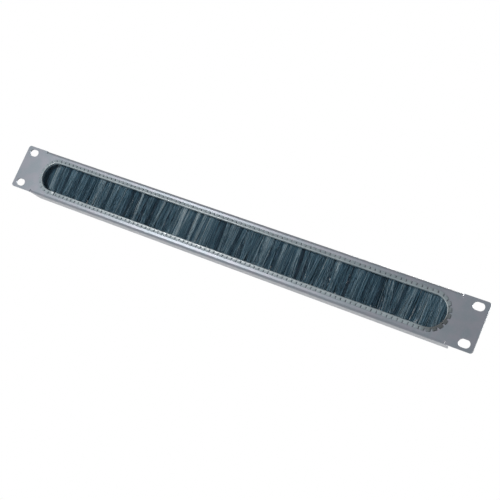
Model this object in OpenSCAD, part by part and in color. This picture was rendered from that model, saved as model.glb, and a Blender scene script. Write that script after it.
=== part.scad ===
// 1U brush panel for a 19 inch rack.
//
// A folded sheet panel with a long cable opening. A toothed edging strip
// grips the opening's edge, and a strip brush hangs behind it in an
// aluminium carrier that is bolted up under the top flange.
//
// Frame: X runs along the width, -Y is the front, +Z is up. The origin is
// the centre of the four mounting slots, on the back of the sheet.

/* [Panel] */
// Overall width across both ears
panel_w = 482.6; // [240:0.1:600]
// Height of the face, one rack unit less its clearance
panel_h = 43.66; // [40:0.02:60]
// Thickness of the sheet
sheet_t = 1.5; // [1:0.1:2]
// Width of each ear, from its end to the folded flanges
ear_w = 23.8; // [20:0.1:40]
// Depth of the flanges, measured from the front of the face
flange_depth = 19.5; // [18:0.5:30]
// Inside radius of both folds
bend_r = 0.8; // [0.5:0.1:1]
// Corner radius of the ears
ear_corner_r = 2.5; // [0.5:0.1:5]
// Radius of the flanges' free corners
flange_corner_r = 2; // [0.5:0.1:4]
// Width of the relief notch at each end of a fold
relief_w = 0.6; // [0.5:0.1:2]
// How far the relief notch runs in past the fold
relief_past_fold = 0.2; // [0.2:0.1:1]

/* [Mounting slots] */
// Distance from the panel's end to the middle of a slot
slot_inset_x = 8.75; // [8:0.05:12]
// Distance from the panel's upper or lower edge to the middle of a slot
slot_inset_z = 5.955; // [5.5:0.005:8]
// End-to-end length of a slot
slot_l = 10; // [9:0.1:12]
// Width of a slot
slot_w = 7; // [6:0.1:7.5]

/* [Cable opening] */
// Distance from the ends of the flanges to the ends of the opening
opening_inset = 5.5; // [4:0.1:60]
// Width of the face left above and below the opening
opening_margin = 6.83; // [6.7:0.01:9]

/* [Edging strip] */
// Thickness of the web that lines the opening
web_t = 1.1; // [0.8:0.05:1.4]
// Thickness of the front and back legs
leg_t = 1; // [0.8:0.05:1.2]
// Reach of a leg from the inside of the web to its free edge
leg_reach = 3.75; // [3.2:0.05:3.9]
// Tooth pitch, measured along the middle of the web
tooth_pitch = 4.7; // [4:0.05:7]
// Width of the slots between the teeth
tooth_gap = 1; // [0.8:0.1:1.8]
// Depth of those slots from the leg's free edge
tooth_depth = 2.2; // [1.5:0.05:2.4]
// Gap where the two ends of the strip meet
joint_gap = 1.2; // [0.5:0.1:2]
// Distance of that joint from the left end of the lower straight run
joint_offset = 8; // [5:0.5:60]

/* [Strip brush] */
// Distance from the ends of the flanges to the ends of the brush
brush_inset = 0.5; // [0:0.1:3]
// Clearance between the edging strip and the brush carrier
brush_gap = 1.6; // [1.2:0.1:2.5]
// Thickness of the folded filament pack
pack_t = 3.2; // [2.8:0.1:3.6]
// Height of the free ends above the inner face of the lower flange
end_gap = 3.4; // [2.5:0.1:5]
// Width of one clump of filaments
clump_w = 3.5; // [3:0.1:8]
// How far the clumps spread forwards and back at their free ends
clump_spread = 0.6; // [0.2:0.05:0.6]
// How ragged a clump's free end is
ragged = 0.5; // [0:0.1:1]
// Diameter of the core wire that the filaments are folded over
core_d = 1.2; // [1:0.1:1.4]
// Wall of the crimped channel
channel_t = 0.5; // [0.4:0.05:0.6]
// Height of the crimped channel
channel_h = 4; // [3.8:0.1:4.2]
// How far each lip of the channel is crimped into the filaments
crimp = 0.3; // [0.1:0.05:0.4]

/* [Brush carrier] */
// Wall of the extruded carrier
carrier_t = 1; // [0.8:0.05:1.2]
// Thickness of the carrier's mounting flange
carrier_flange_t = 1.2; // [1:0.1:1.5]
// Width by which each lip closes the pocket's mouth
lip_w = 0.5; // [0.3:0.05:0.5]
// Thickness of those lips
lip_t = 0.8; // [0.6:0.05:0.9]
// Clearance between the carrier and the channel
slide_fit = 0.1; // [0.05:0.01:0.15]

/* [Fasteners] */
// Number of weld studs
stud_count = 5; // [3:1:7]
// Distance from the brush ends to the outer studs
stud_inset = 17; // [10:1:40]
// Diameter of a weld stud
stud_d = 3; // [2.5:0.5:3]
// How far a stud stands out past its nut
stud_past_nut = 1.9; // [0.5:0.1:3]
// How much wider than the studs their holes in the carrier are
stud_hole_fit = 0.4; // [0.2:0.1:0.6]
// Diameter of a washer
washer_d = 7; // [6:0.1:7]
// Thickness of a washer
washer_t = 0.5; // [0.4:0.1:0.8]
// How much wider than the stud a washer's hole is
washer_fit = 0.2; // [0.1:0.05:0.4]
// Clearance between a washer and the walls or edges beside it
washer_clear = 0.5; // [0.2:0.1:1]
// Width of a nut across its flats
nut_af = 5.5; // [5:0.5:5.5]
// Thickness of a nut
nut_t = 2.4; // [2:0.1:2.5]
// Gap between the nut's thread and the stud
thread_fit = 0.05; // [0.02:0.01:0.1]

/* [Hidden] */
$fn = 64;
// Overshoot of every cut beyond the surface it opens
cut = 1;

// Panel
face_y = -sheet_t;
fold_r = bend_r + sheet_t;
flange_l = panel_w - 2 * ear_w;
flange_back_y = flange_depth - sheet_t;
flange_in_z = panel_h / 2 - sheet_t;
relief_h = fold_r + relief_past_fold;
slot_x = panel_w / 2 - slot_inset_x;
slot_z = panel_h / 2 - slot_inset_z;
opening_l = flange_l - 2 * opening_inset;
opening_h = panel_h - 2 * opening_margin;

// Edging strip: radii of its round ends, and the line its teeth follow
trim_in_r = opening_h / 2 - web_t;
trim_out_r = trim_in_r + leg_reach;
trim_mid_r = opening_h / 2 - web_t / 2;
run_l = opening_l - opening_h;
arc_l = PI * trim_mid_r;
edge_l = 2 * (run_l + arc_l);
tooth_w = tooth_pitch - tooth_gap;
slot_count = floor((edge_l - joint_gap) / tooth_pitch);

// Brush: heights are taken down from the inner face of the top flange
channel_w = pack_t + 2 * channel_t;
pocket_w = channel_w + 2 * slide_fit;
carrier_w = pocket_w + 2 * carrier_t;
brush_l = flange_l - 2 * brush_inset;
brush_y = leg_t + brush_gap + carrier_w / 2;
channel_top_z = flange_in_z - carrier_t - slide_fit;
mouth_z = channel_top_z - channel_h;
carrier_mouth_z = mouth_z - slide_fit - lip_t;
pack_top_z = channel_top_z - channel_t;
core_z = pack_top_z - pack_t / 2;
mouth_t = pack_t - 2 * crimp;
free_z = end_gap - flange_in_z;
clump_count = round(brush_l / clump_w);
clump_pitch = brush_l / clump_count;
clump_t = mouth_t * 0.75;
max_tilt = asin(clump_spread / (mouth_z - free_z));

// Fasteners hang from the top flange, behind the brush
carrier_flange_l = washer_d + 2 * washer_clear;
stud_y = brush_y + (carrier_w + carrier_flange_l) / 2;
stud_pitch = (brush_l - 2 * stud_inset) / (stud_count - 1);
washer_z = flange_in_z - carrier_flange_t - washer_t;
nut_z = washer_z - nut_t;
stud_l = flange_in_z - nut_z + stud_past_nut;

// ---------- helpers ----------

// Flat outline with two full round ends
module obround(l, h) {
    square([l - h, h], center = true);
    for (side = [-1, 1])
        translate([side * (l - h) / 2, 0])
            circle(d = h);
}

module rounded_rect(w, h, r) {
    square([w - 2 * r, h], center = true);
    square([w, h - 2 * r], center = true);
    for (sx = [-1, 1], sy = [-1, 1])
        translate([sx * (w / 2 - r), sy * (h / 2 - r)])
            circle(r = r);
}

// Stands a flat outline up in the XZ plane, from y_front back to y_back
module upright(y_front, y_back) {
    translate([0, y_back, 0])
        rotate([90, 0, 0])
            linear_extrude(height = y_back - y_front)
                children();
}

// Runs a YZ section along X, centred on the origin
module along_x(l) {
    translate([-l / 2, 0, 0])
        rotate([90, 0, 90])
            linear_extrude(height = l)
                children();
}

// Places something s millimetres along the edge of the opening, starting at
// the left end of the lower run, with its +Y pointing out into the sheet
module on_edge(s) {
    turn = 180 / (PI * trim_mid_r);
    if (s < run_l)
        translate([s - run_l / 2, -trim_mid_r])
            rotate(180)
                children();
    else if (s < run_l + arc_l)
        translate([run_l / 2, 0])
            rotate(180 + (s - run_l) * turn)
                translate([0, trim_mid_r])
                    children();
    else if (s < 2 * run_l + arc_l)
        translate([run_l / 2 - (s - run_l - arc_l), trim_mid_r])
            children();
    else
        translate([-run_l / 2, 0])
            rotate((s - 2 * run_l - arc_l) * turn)
                translate([0, trim_mid_r])
                    children();
}

function on_run(s) = s < run_l || (s >= run_l + arc_l && s < 2 * run_l + arc_l);
function wrap(s) = s - edge_l * floor(s / edge_l);
function stud_x(i) = -brush_l / 2 + stud_inset + (i - 1) * stud_pitch;

// ---------- panel ----------

// Section of the folded part: the face with a flange turned back at each edge
module folded_section() {
    difference() {
        translate([face_y + flange_depth, 0])
            rounded_rect(2 * flange_depth, panel_h, fold_r);
        translate([flange_depth, 0])
            rounded_rect(2 * flange_depth, panel_h - 2 * sheet_t, bend_r);
        translate([flange_back_y, -panel_h / 2 - cut])
            square([2 * flange_depth, panel_h + 2 * cut]);
    }
}

// Plan of the flanges, with rounded free corners
module flange_plan() {
    translate([-flange_l / 2, face_y - cut])
        square([flange_l, cut + flange_depth - flange_corner_r]);
    translate([-flange_l / 2 + flange_corner_r, face_y])
        square([flange_l - 2 * flange_corner_r, flange_depth]);
    for (side = [-1, 1])
        translate([side * (flange_l / 2 - flange_corner_r), flange_back_y - flange_corner_r])
            circle(r = flange_corner_r);
}

// The flat face and its ears, without the stretches that are folded
module face() {
    difference() {
        upright(face_y, 0)
            rounded_rect(panel_w, panel_h, ear_corner_r);
        for (side = [-1, 1])
            translate([0, 0, side * panel_h / 2])
                cube([flange_l, 4 * sheet_t, 2 * fold_r], center = true);
    }
}

module relief_notches() {
    for (sx = [-1, 1], sz = [-1, 1])
        translate([sx * (flange_l + relief_w) / 2, 0, sz * (panel_h - relief_h + cut) / 2])
            cube([relief_w, 4 * sheet_t, relief_h + cut], center = true);
}

module mounting_slots() {
    for (sx = [-1, 1], sz = [-1, 1])
        translate([sx * slot_x, 0, sz * slot_z])
            upright(face_y - cut, cut)
                obround(slot_l, slot_w);
}

module panel() {
    color("silver")
        difference() {
            union() {
                face();
                intersection() {
                    along_x(flange_l)
                        folded_section();
                    translate([0, 0, -panel_h / 2 - cut])
                        linear_extrude(height = panel_h + 2 * cut)
                            flange_plan();
                }
            }
            relief_notches();
            mounting_slots();
            upright(face_y - cut, cut)
                obround(opening_l, opening_h);
        }
}

// ---------- edging strip ----------

// Gap between two teeth. Round the ends of the opening the teeth keep their
// width and fan out, so the gap widens towards the free edge.
module tooth_slot(fans_out) {
    root_r = trim_out_r - tooth_depth;
    end_r = trim_out_r + cut;
    root_w = fans_out ? tooth_pitch * root_r / trim_mid_r - tooth_w : tooth_gap;
    end_w = fans_out ? tooth_pitch * end_r / trim_mid_r - tooth_w : tooth_gap;
    polygon([
        [-root_w / 2, root_r - trim_mid_r],
        [-end_w / 2, end_r - trim_mid_r],
        [end_w / 2, end_r - trim_mid_r],
        [root_w / 2, root_r - trim_mid_r],
    ]);
}

// One leg of the strip: a flat band cut into teeth along its outer edge
module comb() {
    difference() {
        obround(run_l + 2 * trim_out_r, 2 * trim_out_r);
        obround(run_l + 2 * trim_in_r, 2 * trim_in_r);
        for (i = [1:slot_count]) {
            s = wrap(joint_offset + (i - 0.5) * tooth_pitch);
            on_edge(s)
                tooth_slot(!on_run(s));
        }
    }
}

module edge_trim() {
    color("lightgray")
        difference() {
            union() {
                upright(face_y - leg_t, face_y)
                    comb();
                upright(0, leg_t)
                    comb();
                upright(face_y - leg_t, leg_t)
                    difference() {
                        obround(opening_l, opening_h);
                        obround(run_l + 2 * trim_in_r, 2 * trim_in_r);
                    }
            }
            translate([joint_offset - run_l / 2 - joint_gap / 2, 0, -trim_mid_r])
                cube([joint_gap, 4 * (sheet_t + leg_t), 4 * leg_reach], center = true);
        }
}

// ---------- brush ----------

module brush_carrier() {
    mid = carrier_w / 2;
    color("gainsboro")
        difference() {
            along_x(brush_l)
                difference() {
                    union() {
                        translate([brush_y - mid, carrier_mouth_z])
                            square([carrier_w, flange_in_z - carrier_mouth_z]);
                        translate([brush_y, flange_in_z - carrier_flange_t])
                            square([mid + carrier_flange_l, carrier_flange_t]);
                    }
                    translate([brush_y - pocket_w / 2, mouth_z - slide_fit])
                        square([pocket_w, channel_h + 2 * slide_fit]);
                    translate([brush_y - pocket_w / 2 + lip_w, carrier_mouth_z - cut])
                        square([pocket_w - 2 * lip_w, lip_t + 2 * cut]);
                }
            for (i = [1:stud_count])
                translate([stud_x(i), stud_y, flange_in_z - carrier_flange_t - cut])
                    cylinder(d = stud_d + stud_hole_fit, h = carrier_flange_t + 2 * cut);
        }
}

// Outline of the folded filaments inside the channel, down to its mouth:
// round over the core wire, straight below it, pinched where it is crimped
module pack_outline() {
    translate([0, core_z])
        circle(d = pack_t);
    polygon([
        [-pack_t / 2, core_z],
        [-pack_t / 2, mouth_z + 2 * crimp],
        [-mouth_t / 2, mouth_z],
        [mouth_t / 2, mouth_z],
        [pack_t / 2, mouth_z + 2 * crimp],
        [pack_t / 2, core_z],
    ]);
}

module brush_channel() {
    color("lightsteelblue")
        translate([0, brush_y, 0])
            along_x(brush_l)
                difference() {
                    translate([-channel_w / 2, mouth_z])
                        square([channel_w, channel_h]);
                    pack_outline();
                }
}

module core_wire() {
    color("dimgray")
        translate([-brush_l / 2, brush_y, core_z])
            rotate([0, 90, 0])
                cylinder(d = core_d, h = brush_l);
}

// Fans one clump out from the channel's mouth: narrow where it is held, wider
// at its free end, leaning to one side and cut off a little ragged
module clump(lean, tilt, short) {
    top = 2 * crimp;
    free_l = mouth_z - free_z - short;
    root = clump_pitch * 0.46;
    fan = root * 1.25;
    translate([0, -mouth_t / 2, mouth_z])
        rotate([90 - tilt, 0, 0])
            translate([0, 0, -clump_t])
                linear_extrude(height = clump_t)
                    polygon([
                        [-root, top],
                        [lean - fan, -free_l],
                        [lean - fan / 3, -free_l - ragged],
                        [lean + fan, -free_l + ragged],
                        [root, top],
                    ]);
}

// One row of clumps, hanging from the front half of the folded pack
module clump_row(seed) {
    lean = rands(-0.9, 0.9, clump_count, seed);
    tilt = rands(0.1, max_tilt, clump_count, seed + 1);
    short = rands(0, 1.2, clump_count, seed + 2);
    for (i = [0:clump_count - 1])
        translate([(i + 0.5) * clump_pitch - brush_l / 2, 0, 0])
            clump(lean[i], tilt[i], short[i]);
}

module bristles() {
    color("darkslategray")
        translate([0, brush_y, 0]) {
            difference() {
                along_x(brush_l)
                    pack_outline();
                translate([-brush_l / 2 - cut, 0, core_z])
                    rotate([0, 90, 0])
                        cylinder(d = core_d, h = brush_l + 2 * cut);
            }
            clump_row(11);
            mirror([0, 1, 0])
                clump_row(21);
        }
}

// ---------- fasteners ----------

module weld_stud(i) {
    color("gray")
        translate([stud_x(i), stud_y, flange_in_z - stud_l])
            cylinder(d = stud_d, h = stud_l);
}

module washer(i) {
    color("whitesmoke")
        translate([stud_x(i), stud_y, washer_z])
            difference() {
                cylinder(d = washer_d, h = washer_t);
                translate([0, 0, -cut])
                    cylinder(d = stud_d + washer_fit, h = washer_t + 2 * cut);
            }
}

// Hexagon nut with its corners chamfered on both faces
module nut(i) {
    across_corners = nut_af / cos(30);
    bevel = nut_t / 6;
    color("darkgray")
        translate([stud_x(i), stud_y, nut_z])
            difference() {
                intersection() {
                    cylinder(d = across_corners, h = nut_t, $fn = 6);
                    rotate_extrude()
                        polygon([
                            [0, 0],
                            [nut_af / 2, 0],
                            [across_corners / 2, bevel],
                            [across_corners / 2, nut_t - bevel],
                            [nut_af / 2, nut_t],
                            [0, nut_t],
                        ]);
                }
                translate([0, 0, -cut])
                    cylinder(d = stud_d + 2 * thread_fit, h = nut_t + 2 * cut);
            }
}

// ---------- nodes ----------

panel();
edge_trim();
brush_carrier();
brush_channel();
core_wire();
bristles();
for (i = [1:stud_count]) {
    weld_stud(i);
    washer(i);
    nut(i);
}
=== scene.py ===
import math
import random

import bpy
from mathutils import Matrix, Vector


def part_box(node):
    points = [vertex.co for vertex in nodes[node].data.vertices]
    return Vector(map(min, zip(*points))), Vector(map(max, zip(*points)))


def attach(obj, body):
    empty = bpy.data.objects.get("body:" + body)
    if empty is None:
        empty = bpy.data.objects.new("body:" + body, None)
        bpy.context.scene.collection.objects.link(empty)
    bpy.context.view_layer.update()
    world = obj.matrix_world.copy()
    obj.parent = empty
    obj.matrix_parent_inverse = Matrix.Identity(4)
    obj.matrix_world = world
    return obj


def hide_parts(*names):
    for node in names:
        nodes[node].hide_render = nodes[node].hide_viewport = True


MM = 0.001


def in_mm(corner):
    return [value / MM for value in corner]


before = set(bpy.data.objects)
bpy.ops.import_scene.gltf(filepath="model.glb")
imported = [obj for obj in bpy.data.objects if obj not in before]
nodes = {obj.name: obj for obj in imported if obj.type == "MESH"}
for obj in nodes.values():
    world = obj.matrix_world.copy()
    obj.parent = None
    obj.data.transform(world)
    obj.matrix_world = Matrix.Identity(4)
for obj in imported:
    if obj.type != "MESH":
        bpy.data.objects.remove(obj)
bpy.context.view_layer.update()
chance = random.Random(19)

# ---------------------------------------------------------------- measures
# Millimetres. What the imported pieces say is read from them, the rest is set here.

panel_low, _ = map(in_mm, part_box("panel"))
trim_low, trim_high = map(in_mm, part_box("edge_trim"))
brush_low, brush_high = map(in_mm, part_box("bristles"))
channel_low, channel_high = map(in_mm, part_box("brush_channel"))

FACE_Y = panel_low[1]
NEAR = 0.01  # within this, two places are the same

# Edging strip
WEB = 1.1
LEG = FACE_Y - trim_low[1]
LEG_REACH = 3.75
TRIM_OUT_R = trim_high[2]
TRIM_MID_R = TRIM_OUT_R - LEG_REACH + WEB / 2
RUN = trim_high[0] - trim_low[0] - 2 * TRIM_OUT_R
PITCH = 4.7
TOOTH_GAP = 1.0
TOOTH_DEPTH = 2.2
LIP_TAPER = 0.3
ROOT_TAPER = 0.1
NOSE_ROUNDING = 0.75
BROKEN_EDGE = 0.16
JOINT_GAP = 1.2
JOINT_OFFSET = 8.0
ARC = math.pi * TRIM_MID_R
EDGE_LENGTH = 2 * (RUN + ARC)
TEETH = int((EDGE_LENGTH - JOINT_GAP) / PITCH)

# Brush
BRUSH_LENGTH = brush_high[0] - brush_low[0]
BRUSH_Y = (channel_low[1] + channel_high[1]) / 2
MOUTH_Z = channel_low[2]
FREE_Z = brush_low[2]
ROW_OFFSET = 2.6 / 3.4
IN_CHANNEL = 0.8
CLUMPS = 124
LOCKS = 4
STRAY_SHARE = 0.07
MIDDLE_LENGTH = 0.96
ROW_TONE = 0.50
# The middle row's tone is lowered by this: painted shade between the front and rear rows.
MIDDLE_PAINTED_SHADE = 0.3

# Studio: degrees, then metres, then strengths of light
CAMERA_TURN = 26.33
CAMERA_LIFT = -7.87
CAMERA_ROLL = 23.50
CAMERA_DISTANCE = 0.899
LENS = 74.1
LOOKED_AT = (28.0, FACE_Y, -3.1)
TABLE_GLOW = 0.60
ROOM_GLOW = 0.05
WHITE = (1, 1, 1, 1)

# Where most of a noise node's values lie
NOISE_LOW = 0.3
NOISE_HIGH = 0.7


# ---------------------------------------------------------------- bench tools

def clear_selection():
    if bpy.context.object and bpy.context.object.mode != "OBJECT":
        bpy.ops.object.mode_set(mode="OBJECT")
    bpy.ops.object.select_all(action="DESELECT")


def take(piece):
    """Makes one piece the only thing on the bench."""
    clear_selection()
    piece.select_set(True)
    bpy.context.view_layer.objects.active = piece
    return piece


def pick(piece, faces=None, edges=None, points=None):
    """Selects parts of a piece by a test of their place, for the next edit."""
    bpy.ops.object.mode_set(mode="EDIT")
    kind = "FACE" if faces else "EDGE" if edges else "VERT"
    bpy.ops.mesh.select_mode(type=kind)
    bpy.ops.mesh.select_all(action="DESELECT")
    bpy.ops.object.mode_set(mode="OBJECT")
    mesh = piece.data
    if faces:
        for face in mesh.polygons:
            face.select = faces(face.center, face.normal)
    if edges:
        for edge in mesh.edges:
            a, b = (mesh.vertices[i].co for i in edge.vertices)
            edge.select = edges(a, b)
    if points:
        for point in mesh.vertices:
            point.select = points(point.co)
    bpy.ops.object.mode_set(mode="EDIT")


def apply(piece, kind, **settings):
    """Adds a modifier, sets it and applies it."""
    take(piece)
    modifier = piece.modifiers.new(kind.title(), kind)
    for name, value in settings.items():
        setattr(modifier, name, value)
    bpy.ops.object.modifier_apply(modifier=modifier.name)


def settle(piece):
    """Moves a piece's place into its mesh."""
    take(piece)
    bpy.ops.object.transform_apply(location=True, rotation=True, scale=True)


def finish_piece(piece, name, material, stands_for):
    piece.name = name
    piece.data.name = name
    piece.data.materials.clear()
    piece.data.materials.append(material)
    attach(piece, "root")
    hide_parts(*stands_for)
    return piece


# ---------------------------------------------------------------- finishes

class Value:
    """A number on its way through a finish. Sums on it add Math nodes."""

    def __init__(self, finish, socket):
        self.finish = finish
        self.socket = socket

    def sum(self, operation, first, second):
        settings = {"operation": operation}
        return self.finish.add("ShaderNodeMath", settings, {0: first, 1: second})

    def __add__(self, other):
        return self.sum("ADD", self, other)

    def __sub__(self, other):
        return self.sum("SUBTRACT", self, other)

    def __mul__(self, other):
        return self.sum("MULTIPLY", self, other)

    def __rsub__(self, other):
        return self.sum("SUBTRACT", other, self)

    def or_larger(self, other):
        return self.sum("MAXIMUM", self, other)

    __radd__ = __add__
    __rmul__ = __mul__


class Finish:
    """One material, or the world, with its nodes."""

    def __init__(self, name, collection=bpy.data.materials):
        self.material = collection.new(name)
        self.material.use_nodes = True
        self.tree = self.material.node_tree
        self.surface = self.tree.nodes.get("Principled BSDF")
        self.place = self.add("ShaderNodeTexCoord", output="Object")

    def add(self, kind, settings=None, sockets=None, output=0):
        """Adds a node: its settings come first, then its sockets."""
        node = self.tree.nodes.new(kind)
        for name, value in (settings or {}).items():
            if name == "stops":
                self.set_stops(node.color_ramp, value)
            else:
                setattr(node, name, value)
        self.feed(node, sockets or {})
        return Value(self, node.outputs[output])

    def set_stops(self, ramp, stops):
        while len(ramp.elements) < len(stops):
            ramp.elements.new(0.5)
        for element, (position, colour) in zip(ramp.elements, stops):
            element.position = position
            element.color = (*colour, 1)

    def feed(self, node, sockets):
        for name, value in sockets.items():
            if isinstance(value, Value):
                self.tree.links.new(value.socket, node.inputs[name])
            else:
                node.inputs[name].default_value = value

    def coat(self, **sockets):
        """Sets the surface's own sockets, such as base_color=..."""
        named = {name.replace("_", " ").title(): value for name, value in sockets.items()}
        self.feed(self.surface, named)

    def stretched(self, x, y, z):
        return self.add("ShaderNodeMapping", None, {0: self.place, "Scale": (x, y, z)})

    def noise(self, scale, detail=2.0, where=None, roughness=0.5):
        sockets = {
            "Vector": where or self.place,
            "Scale": scale,
            "Detail": detail,
            "Roughness": roughness,
        }
        return self.add("ShaderNodeTexNoise", None, sockets)

    def ramp(self, value, *stops):
        return self.add("ShaderNodeValToRGB", {"stops": stops}, {0: value})

    def blend(self, share, first, second, mode="MIX"):
        settings = {"data_type": "RGBA", "blend_type": mode}
        node = {0: share, 6: first, 7: second}
        return self.add("ShaderNodeMix", settings, node, 2)

    def between(self, value, low, high, to_low=0.0, to_high=1.0):
        sockets = {0: value, 1: low, 2: high, 3: to_low, 4: to_high}
        return self.add("ShaderNodeMapRange", {"clamp": True}, sockets)

    def vary(self, noise, to_low, to_high):
        return self.between(noise, NOISE_LOW, NOISE_HIGH, to_low, to_high)

    def scaled(self, colour, share):
        settings = {"operation": "SCALE"}
        return self.add("ShaderNodeVectorMath", settings, {0: colour, "Scale": share})

    def relief(self, height, depth, strength=1.0):
        sockets = {"Height": height, "Distance": depth, "Strength": strength}
        return self.add("ShaderNodeBump", None, sockets)


def rgb(red, green, blue):
    return (red, green, blue, 1)


def powder_coat():
    finish = Finish("silver_grey_powder_coat")
    cloud = finish.noise(14, 3)
    tint = finish.noise(95, 2)
    speck = finish.noise(1900, 1)
    warm = rgb(0.318, 0.334, 0.388)
    cool = rgb(0.278, 0.322, 0.370)
    tone = finish.blend(finish.between(tint, 0.4, 0.6), cool, warm)
    shade = finish.vary(cloud, 0.94, 1.06) * finish.vary(speck, 0.93, 1.07)
    finish.coat(
        base_color=finish.scaled(tone, shade),
        metallic=0.15,
        roughness=finish.vary(cloud, 0.28, 0.32),
        normal=finish.relief(finish.noise(620, 2), 0.00003, 0.3),
    )
    return finish.material


def edging_nylon():
    finish = Finish("natural_nylon_edging")
    cloud = finish.noise(60, 2)
    tone = finish.ramp(cloud, (0.35, (0.34, 0.43, 0.47)), (0.65, (0.44, 0.53, 0.57)))
    # Painted shade: the edging is darkened round a spot on the lower right of the right-hand
    # arc, down to 0.16 of its tone at the middle.
    painted_shade_spot = (trim_high[0] * MM - 0.006, 0.0, -0.008)
    painted_shade_core = 0.006
    painted_shade_rim = 0.020
    settings = {"operation": "DISTANCE"}
    away = finish.add("ShaderNodeVectorMath", settings, {0: finish.place, 1: painted_shade_spot}, 1)
    ragged = away + (finish.noise(380, 2) - 0.5) * 0.008
    painted_shade_factor = finish.between(ragged, painted_shade_core, painted_shade_rim, 0.16, 1.0)
    # The base colour carries that painted shade.
    finish.coat(
        base_color=finish.scaled(tone, painted_shade_factor),
        roughness=finish.vary(finish.noise(240, 2), 0.22, 0.32),
        normal=finish.relief(finish.noise(500, 2), 0.00003, 0.3),
    )
    finish.feed(finish.surface, {"Specular IOR Level": 0.8})
    return finish.material


def nylon_filament():
    finish = Finish("blue_grey_nylon_filament")
    settings = {"attribute_type": "GEOMETRY", "attribute_name": "tone"}
    tone = finish.add("ShaderNodeAttribute", settings, output="Fac")
    along = finish.noise(1.0, 2, finish.stretched(700, 300, 45))
    lit = tone + finish.vary(along, -0.12, 0.12)
    colour = finish.ramp(
        lit,
        (0.0, (0.007, 0.030, 0.056)),
        (0.35, (0.064, 0.160, 0.236)),
        (0.65, (0.210, 0.365, 0.470)),
        (1.0, (0.660, 0.800, 0.860)),
    )
    finish.feed(finish.surface, {"Specular IOR Level": 0.3})
    finish.coat(base_color=colour, roughness=finish.vary(along, 0.35, 0.5))
    return finish.material


def bare_metal(name, dark, light, rough, grain, metallic=1.0):
    """A bare or plated metal, with its grain drawn out along X."""
    finish = Finish(name)
    streak = finish.noise(1.0, 3, finish.stretched(*grain))
    mottle = finish.noise(120, 3)
    tone = finish.ramp(streak * 0.6 + mottle * 0.4, (0.3, dark), (0.7, light))
    finish.coat(
        base_color=tone,
        metallic=metallic,
        roughness=finish.vary(mottle, rough - 0.06, rough + 0.08),
        normal=finish.relief(streak, 0.00002, 0.4),
    )
    return finish.material


def galvanised():
    """Zinc spangle on the crimped channel."""
    finish = Finish("galvanised_steel")
    spangle = finish.add("ShaderNodeTexVoronoi", None, {"Vector": finish.place, "Scale": 420})
    tone = finish.ramp(spangle, (0.0, (0.50, 0.53, 0.56)), (1.0, (0.34, 0.37, 0.40)))
    finish.coat(
        base_color=tone,
        metallic=1.0,
        roughness=finish.between(spangle, 0.0, 0.6, 0.3, 0.48),
        normal=finish.relief(spangle, 0.00002, 0.3),
    )
    return finish.material


# ---------------------------------------------------------------- edging strip

def one_tooth_length():
    """One pitch of the strip, flat: X along it, Y away from the opening, Z through
    the sheet. The slot is in the middle, between two half teeth."""
    front = FACE_Y - LEG
    across = -front + LEG
    clear_selection()
    bpy.ops.mesh.primitive_cube_add(size=1, location=(PITCH / 2, 0, front + across / 2))
    strip = bpy.context.object
    strip.scale = (PITCH, WEB, across)
    settle(strip)
    bpy.ops.object.mode_set(mode="EDIT")
    for z in (FACE_Y, 0):
        bpy.ops.mesh.select_all(action="SELECT")
        bpy.ops.mesh.bisect(plane_co=(0, 0, z), plane_no=(0, 0, 1))
    slot_left = (PITCH - TOOTH_GAP) / 2
    slot_right = (PITCH + TOOTH_GAP) / 2
    for x in (slot_left / 2, slot_left, PITCH / 2, slot_right, (slot_right + PITCH) / 2):
        bpy.ops.mesh.select_all(action="SELECT")
        bpy.ops.mesh.bisect(plane_co=(x, 0, 0), plane_no=(1, 0, 0))
    root = LEG_REACH - WEB - TOOTH_DEPTH
    free_edge = LEG_REACH - WEB / 2
    inside = -WEB / 2 + NEAR

    def faces_out(centre, normal):
        return normal.y > 0.9 and not FACE_Y < centre.z < 0

    def tooth_out(centre, normal):
        beside = centre.x < slot_left or centre.x > slot_right
        return faces_out(centre, normal) and beside

    def cut_end(centre, normal):
        return abs(normal.x) > 0.9 and not NEAR < centre.x < PITCH - NEAR

    def outer_corner(a, b):
        on_web = max(a.y, b.y) < inside
        on_skin = abs(a.z - front) < NEAR or abs(a.z - LEG) < NEAR
        along = abs(a.z - b.z) < NEAR and abs(a.x - b.x) > NEAR
        return on_web and on_skin and along

    pick(strip, faces=faces_out)
    bpy.ops.mesh.extrude_region_move(TRANSFORM_OT_translate={"value": (0, root, 0)})
    pick(strip, faces=tooth_out)
    bpy.ops.mesh.extrude_region_move(TRANSFORM_OT_translate={"value": (0, TOOTH_DEPTH, 0)})
    for side, skin in ((1, front), (-1, LEG)):
        for row, taper in ((free_edge, LIP_TAPER), (free_edge - TOOTH_DEPTH, ROOT_TAPER)):
            pick(strip, points=lambda co: abs(co.y - row) < NEAR and abs(co.z - skin) < NEAR)
            bpy.ops.transform.translate(value=(0, 0, side * taper))
    pick(strip, faces=cut_end)
    bpy.ops.mesh.delete(type="FACE")
    pick(strip, edges=outer_corner)
    bpy.ops.mesh.bevel(offset=NOSE_ROUNDING, segments=4)
    bpy.ops.object.mode_set(mode="OBJECT")
    return strip


def place_on_edge(s):
    """The point s millimetres along the opening's edge, its tangent and the
    direction away from the opening, starting at the left end of the lower run."""
    s = s % EDGE_LENGTH
    if s < RUN:
        return Vector((s - RUN / 2, -TRIM_MID_R)), Vector((1, 0)), Vector((0, -1))
    if s < RUN + ARC:
        turn = (s - RUN) / TRIM_MID_R
        out = Vector((math.sin(turn), -math.cos(turn)))
        return Vector((RUN / 2, 0)) + out * TRIM_MID_R, Vector((-out.y, out.x)), out
    if s < 2 * RUN + ARC:
        along = s - RUN - ARC
        return Vector((RUN / 2 - along, TRIM_MID_R)), Vector((-1, 0)), Vector((0, 1))
    turn = (s - 2 * RUN - ARC) / TRIM_MID_R
    out = Vector((-math.sin(turn), math.cos(turn)))
    return Vector((-RUN / 2, 0)) + out * TRIM_MID_R, Vector((-out.y, out.x)), out


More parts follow.
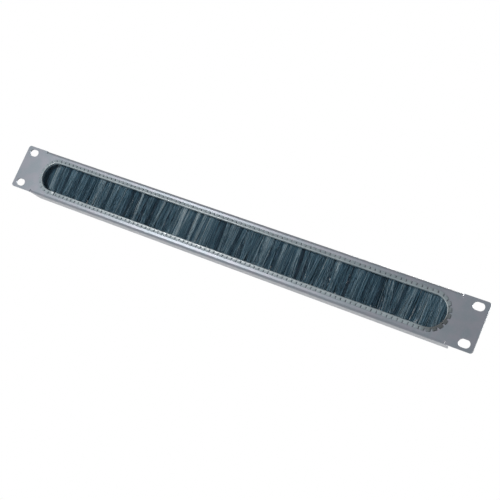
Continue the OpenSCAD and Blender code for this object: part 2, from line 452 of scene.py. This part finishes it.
def bend_round_opening(strip):
    """Bends the flat strip round the opening. The web follows the edge, and each
    tooth stays straight and square on its own middle."""
    root_y = LEG_REACH - WEB / 2 - TOOTH_DEPTH
    for point in strip.data.vertices:
        along, out, through = point.co
        anchor = along
        if out > root_y + NEAR:
            anchor = round(along / PITCH) * PITCH
            anchor = min(max(anchor, JOINT_GAP / 2), EDGE_LENGTH - JOINT_GAP / 2)
        place, tangent, away = place_on_edge(JOINT_OFFSET + anchor)
        flat = place + tangent * (along - anchor) + away * out
        point.co = Vector((flat.x, through, flat.y)) * MM


def make_edging():
    strip = one_tooth_length()
    apply(
        strip, "ARRAY", count=TEETH, use_relative_offset=False,
        use_constant_offset=True, constant_offset_displace=(PITCH, 0, 0),
        use_merge_vertices=True, merge_threshold=0.001,
    )
    take(strip)
    made = TEETH * PITCH
    pick(strip, points=lambda co: co.x < 0.001)
    bpy.ops.transform.translate(value=(JOINT_GAP / 2, 0, 0))
    pick(strip, edges=lambda a, b: min(a.x, b.x) > made - 0.001)
    left_over = EDGE_LENGTH - JOINT_GAP / 2 - made
    bpy.ops.mesh.extrude_region_move(TRANSFORM_OT_translate={"value": (left_over, 0, 0)})
    bpy.ops.mesh.edge_face_add()
    start = JOINT_GAP / 2 + 0.001
    pick(strip, edges=lambda a, b: max(a.x, b.x) < start)
    bpy.ops.mesh.edge_face_add()
    bpy.ops.mesh.select_all(action="SELECT")
    bpy.ops.mesh.normals_make_consistent(inside=False)
    bpy.ops.object.mode_set(mode="OBJECT")
    bend_round_opening(strip)
    apply(
        strip, "BEVEL", width=BROKEN_EDGE * MM, segments=2, limit_method="ANGLE",
        angle_limit=math.radians(50),
    )
    take(strip)
    bpy.ops.object.mode_set(mode="EDIT")
    bpy.ops.mesh.select_all(action="SELECT")
    bpy.ops.mesh.normals_make_consistent(inside=False)
    bpy.ops.object.mode_set(mode="OBJECT")
    bpy.ops.object.shade_smooth_by_angle(angle=math.radians(35))
    return finish_piece(strip, "toothed_edging", edging_nylon(), ["edge_trim"])


# ---------------------------------------------------------------- brush

# Middle, half width, lean of the free ends and paleness of each stretch that
# cables have parted and combed
COMBED = (
    (-205, 5, 0.3, 0.26), (-194, 8, 0.4, 0.06), (-172, 4, 0.0, 0.16), (-160, 5, -0.6, -0.14),
    (-138, 7, -1.6, 0.05), (-104, 9, 1.3, -0.08), (-53, 5, -0.4, 0.28),
    (-47, 2, 0.0, -0.20), (-41, 3, 0.6, 0.22), (-29, 2, 0.0, -0.20),
    (-14, 9, 2.2, 0.14), (7, 7, -1.2, -0.16), (19, 3, 0.3, 0.34),
    (34, 4, 0.6, 0.20), (49, 3, 0.4, 0.20), (60, 5, 0.5, -0.10),
    (75, 6, 3.0, 0.14), (92, 8, -1.5, -0.10), (104, 5, 2.6, 0.12),
    (118, 5, 1.2, 0.10), (136, 5, 0.5, -0.08), (156, 6, 4.0, 0.05),
    (170, 5, -3.4, 0.05), (190, 3, 1.0, 0.36), (203, 6, 0.4, 0.10),
)


def set_tone(piece, tone):
    """Keeps how pale a filament is with its points."""
    layer = piece.data.attributes.get("tone")
    if not layer:
        layer = piece.data.attributes.new("tone", "FLOAT", "POINT")
    layer.data.foreach_set("value", [tone] * len(piece.data.vertices))


def shift_tone(piece, tone):
    layer = piece.data.attributes["tone"]
    for point in layer.data:
        point.value += tone


def join(pieces):
    clear_selection()
    for piece in pieces:
        piece.select_set(True)
    bpy.context.view_layer.objects.active = pieces[0]
    bpy.ops.object.join()
    return bpy.context.object


def copy_of(piece):
    copy = piece.copy()
    copy.data = piece.data.copy()
    bpy.context.collection.objects.link(copy)
    return copy


def one_filament():
    """One filament, a millimetre long and hanging from the origin, with the
    rings that let it curl."""
    clear_selection()
    bpy.ops.mesh.primitive_cylinder_add(
        vertices=3, radius=1, depth=1, end_fill_type="NOTHING", location=(0, 0, -0.5)
    )
    filament = bpy.context.object
    settle(filament)
    bpy.ops.object.mode_set(mode="EDIT")
    for z in (-0.2, -0.4, -0.6, -0.8):
        bpy.ops.mesh.select_all(action="SELECT")
        bpy.ops.mesh.bisect(plane_co=(0, 0, z), plane_no=(0, 0, 1))
    pick(filament, points=lambda co: co.z < -0.99)
    bpy.ops.transform.resize(value=(0.6, 0.6, 1), center_override=(0, 0, -1))
    bpy.ops.object.mode_set(mode="OBJECT")
    return filament


def one_clump(filament, count, radius):
    """A clump of filaments hanging from the origin. They gather in a few locks,
    each with its own lean, and a few filaments stray."""
    half = BRUSH_LENGTH / CLUMPS / 2
    reach = MOUTH_Z - FREE_Z
    locks = [
        (chance.uniform(-half, half), chance.gauss(0, 0.9), chance.gauss(0, 0.24))
        for _ in range(LOCKS)
    ]
    pieces = []
    for i in range(count):
        centre, lean, pale = locks[i % LOCKS]
        copy = copy_of(filament)
        x = chance.uniform(-half, half) * 1.02
        pull = chance.uniform(0.1, 0.6)
        sway = lean + (centre - x) * pull + chance.gauss(0, 0.35)
        if chance.random() < STRAY_SHARE:
            sway += chance.gauss(0, 2.4)
        y = chance.uniform(-0.6, 0.6)
        bow = chance.gauss(0, 0.3)
        length = reach * chance.uniform(0.965, 1.0) + IN_CHANNEL
        thick = radius * chance.uniform(0.8, 1.2)
        for point in copy.data.vertices:
            down = -point.co.z
            free = max(0.0, (down * length - IN_CHANNEL) / reach)
            point.co.x = point.co.x * thick + x + sway * free + bow * math.sin(free * math.pi)
            point.co.y = point.co.y * thick + y
            point.co.z = IN_CHANNEL - down * length
        set_tone(copy, pale + chance.gauss(0, 0.12))
        pieces.append(copy)
    return join(pieces)


def combed(x):
    """How far the free ends lean to the right at x, and how pale they are there."""
    lean = 0.0
    pale = 0.0
    for middle, width, amount, light in COMBED:
        share = math.exp(-((x - middle) / width) ** 2)
        lean += amount * share
        pale += light * share
    return lean, pale


def make_brush_row(name, side, clumps, material):
    """One row of the brush. Side -1 hangs in front of the core wire, side 1
    behind it, and side 0 is the dense middle between them."""
    pitch = BRUSH_LENGTH / CLUMPS
    reach = MOUTH_Z - FREE_Z
    row = []
    for i in range(CLUMPS):
        x = -BRUSH_LENGTH / 2 + (i + 0.5) * pitch
        copy = copy_of(chance.choice(clumps))
        lean, pale = combed(x + side * 2)
        sway = lean + chance.gauss(0, 0.9)
        spread = side * chance.uniform(0.05, 0.5)
        curl = chance.gauss(0, 0.45)
        widen = chance.uniform(0.7, 1.15)
        short = 1.0 if side else MIDDLE_LENGTH
        for point in copy.data.vertices:
            down = max(0.0, -point.co.z / reach)
            point.co.x = x + point.co.x * (1 + (widen - 1) * down)
            point.co.x += sway * down ** 1.3 + curl * math.sin(down * math.pi)
            point.co.y = BRUSH_Y + side * ROW_OFFSET + point.co.y * (1 + 0.2 * down)
            point.co.y += spread * down
            point.co.z = MOUTH_Z + point.co.z * short
            point.co.x = min(max(point.co.x, brush_low[0]), brush_high[0])
            point.co *= MM
        tone = ROW_TONE + pale * 0.9 + chance.gauss(0, 0.15)
        # The middle row is painted darker: painted shade inside the brush.
        shift_tone(copy, tone if side else tone - MIDDLE_PAINTED_SHADE)
        row.append(copy)
    piece = join(row)
    bpy.ops.object.shade_smooth()
    return finish_piece(piece, name, material, ["bristles"])


def make_brush():
    filament = one_filament()
    outer = [one_clump(filament, 36, 0.17) for _ in range(9)]
    inner = [one_clump(filament, 22, 0.3) for _ in range(4)]
    material = nylon_filament()
    make_brush_row("front_filaments", -1, outer, material)
    make_brush_row("middle_filaments", 0, inner, material)
    make_brush_row("rear_filaments", 1, outer, material)
    for kind in (filament, *outer, *inner):
        bpy.data.objects.remove(kind)


# ---------------------------------------------------------------- studs

def make_stud(number, material):
    """A weld stud with its rolled thread and a chamfered tip."""
    low, high = map(in_mm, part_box(f"weld_stud_{number}"))
    radius = (high[0] - low[0]) / 2
    thread, depth = 0.5, 0.3
    turns = int((high[2] - low[2]) / thread) - 1
    clear_selection()
    bpy.ops.mesh.primitive_circle_add(vertices=4, radius=depth / 2, fill_type="NOTHING")
    stud = bpy.context.object
    bpy.ops.object.mode_set(mode="EDIT")
    bpy.ops.mesh.select_all(action="SELECT")
    bpy.ops.transform.resize(value=(1, thread / depth * 0.8, 1))
    bpy.ops.transform.rotate(value=math.pi / 2, orient_axis="X", center_override=(0, 0, 0))
    bpy.ops.transform.translate(value=(radius - depth / 2, 0, 0))
    bpy.ops.object.mode_set(mode="OBJECT")
    apply(
        stud, "SCREW", angle=2 * math.pi, screw_offset=thread, iterations=turns,
        steps=20, render_steps=20, use_merge_vertices=True,
    )
    take(stud)
    stud.location = (0, 0, thread)
    settle(stud)
    bpy.ops.object.mode_set(mode="EDIT")
    core = radius - depth * 0.6
    height = high[2] - low[2]
    bpy.ops.mesh.primitive_cylinder_add(
        vertices=24, radius=core, depth=height, location=(0, 0, height / 2)
    )
    bpy.ops.object.mode_set(mode="OBJECT")
    pick(stud, edges=lambda a, b: max(a.z, b.z) < 0.001)
    bpy.ops.mesh.bevel(offset=0.25, segments=2)
    bpy.ops.mesh.select_all(action="SELECT")
    bpy.ops.mesh.normals_make_consistent(inside=False)
    bpy.ops.object.mode_set(mode="OBJECT")
    middle = Vector(((low[0] + high[0]) / 2, (low[1] + high[1]) / 2, low[2]))
    stud.scale = (MM, MM, MM)
    stud.location = middle * MM
    settle(stud)
    bpy.ops.object.shade_smooth_by_angle(angle=math.radians(40))
    return finish_piece(
        stud, f"threaded_stud_{number}", material, [f"weld_stud_{number}"]
    )


# ---------------------------------------------------------------- dressing

def dress(node, material):
    nodes[node].data.materials.clear()
    nodes[node].data.materials.append(material)


def dress_metalwork():
    dress("panel", powder_coat())
    dress("brush_carrier", bare_metal(
        "extruded_aluminium", (0.50, 0.51, 0.53), (0.62, 0.63, 0.65), 0.34, (12, 900, 900)))
    dress("brush_channel", galvanised())
    dress("core_wire", bare_metal(
        "drawn_wire", (0.16, 0.165, 0.175), (0.24, 0.245, 0.255), 0.4, (30, 1500, 1500)))
    zinc = bare_metal(
        "bright_zinc_plate", (0.48, 0.51, 0.55), (0.60, 0.63, 0.68), 0.28, (500, 500, 500))
    copper = bare_metal(
        "copper_flashed_steel", (0.42, 0.30, 0.22), (0.52, 0.38, 0.29), 0.36, (400, 400, 400))
    for node in nodes:
        if node.startswith(("washer_", "nut_")):
            dress(node, zinc)
    for node in sorted(nodes):
        if node.startswith("weld_stud_"):
            make_stud(node.split("_")[-1], copper)


# ---------------------------------------------------------------- studio

def make_camera():
    """Stands to the right of the panel and a little below it, rolled so that the
    right end hangs lower."""
    turn, lift, roll = map(math.radians, (CAMERA_TURN, CAMERA_LIFT, CAMERA_ROLL))
    back = Vector((
        math.sin(turn) * math.cos(lift), -math.cos(turn) * math.cos(lift), math.sin(lift)
    ))
    level = Vector((0, 0, 1)).cross(back).normalized()
    upright = back.cross(level)
    right = level * math.cos(roll) + upright * math.sin(roll)
    up = upright * math.cos(roll) - level * math.sin(roll)
    target = Vector(LOOKED_AT) * MM
    data = bpy.data.cameras.new("camera")
    data.sensor_width = 36
    data.lens = LENS
    data.clip_start = 0.01
    camera = bpy.data.objects.new("camera", data)
    bpy.context.collection.objects.link(camera)
    turned = Matrix((right, up, back)).transposed().to_4x4()
    camera.matrix_world = Matrix.Translation(target + back * CAMERA_DISTANCE) @ turned
    bpy.context.scene.camera = camera


def make_world():
    """A white room to every ray that shows it. What lights the panel is the pale
    table below it, and a dim room above."""
    sky = Finish("studio", bpy.data.worlds)
    bpy.context.scene.world = sky.material
    camera, glossy, through = (
        sky.add("ShaderNodeLightPath", output=f"Is {kind} Ray")
        for kind in ("Camera", "Glossy", "Transmission")
    )
    shows = camera.or_larger(glossy.or_larger(through))
    towards = sky.add("ShaderNodeTexCoord", output="Generated")
    height = sky.add("ShaderNodeSeparateXYZ", None, {0: towards}, 2)
    glow = sky.between(height, -0.72, -0.60, TABLE_GLOW, ROOM_GLOW)
    level = shows + (1 - shows) * glow
    sky.feed(sky.tree.nodes["Background"], {"Color": WHITE, "Strength": level})


def make_floor():
    """A pale table top under the panel. It is seen only from above, and lets all
    the light of the studio reach the panel's underside."""
    clear_selection()
    bpy.ops.mesh.primitive_plane_add(size=6, location=(0, 0, panel_low[2] * MM))
    floor = bpy.context.object
    settle(floor)
    floor.name = "table_top"
    finish = Finish("pale_table_top")
    camera_ray = finish.add("ShaderNodeLightPath", output="Is Camera Ray")
    underneath = finish.add("ShaderNodeNewGeometry", output="Backfacing")
    shown = camera_ray * (1 - underneath)
    clear = finish.add("ShaderNodeBsdfTransparent")
    grain = finish.noise(30, 3)
    finish.coat(
        base_color=finish.ramp(grain, (0.3, (0.80, 0.80, 0.80)), (0.7, (0.84, 0.84, 0.84))),
        roughness=0.9,
    )
    white = finish.add("ShaderNodeEmission", None, {"Color": WHITE, "Strength": 0.9})
    lit = Value(finish, finish.surface.outputs[0])
    lit = finish.add("ShaderNodeMixShader", None, {0: 0.6, 1: lit, 2: white})
    mixed = finish.add("ShaderNodeMixShader", None, {0: shown, 1: clear, 2: lit})
    finish.feed(finish.tree.nodes["Material Output"], {"Surface": mixed})
    floor.data.materials.append(finish.material)


def make_lamp(name, place, aim, size, power):
    data = bpy.data.lights.new(name, "AREA")
    data.shape = "RECTANGLE"
    data.size, data.size_y = size
    data.energy = power
    lamp = bpy.data.objects.new(name, data)
    bpy.context.collection.objects.link(lamp)
    place, aim = Vector(place), Vector(aim)
    turned = (place - aim).to_track_quat("Z", "Y").to_matrix().to_4x4()
    lamp.matrix_world = Matrix.Translation(place) @ turned


def make_lights():
    make_lamp("key", (-0.82, -1.39, 0.03), (-0.03, 0, 0), (0.18, 0.62), 11)
    make_lamp("rear_fill", (0.3, 1.3, 0.55), (0, 0, 0), (1.6, 0.6), 24)


make_camera()
make_world()
make_floor()
make_lights()
dress_metalwork()
make_edging()
make_brush()

scene = bpy.context.scene
scene.view_settings.view_transform = "Standard"
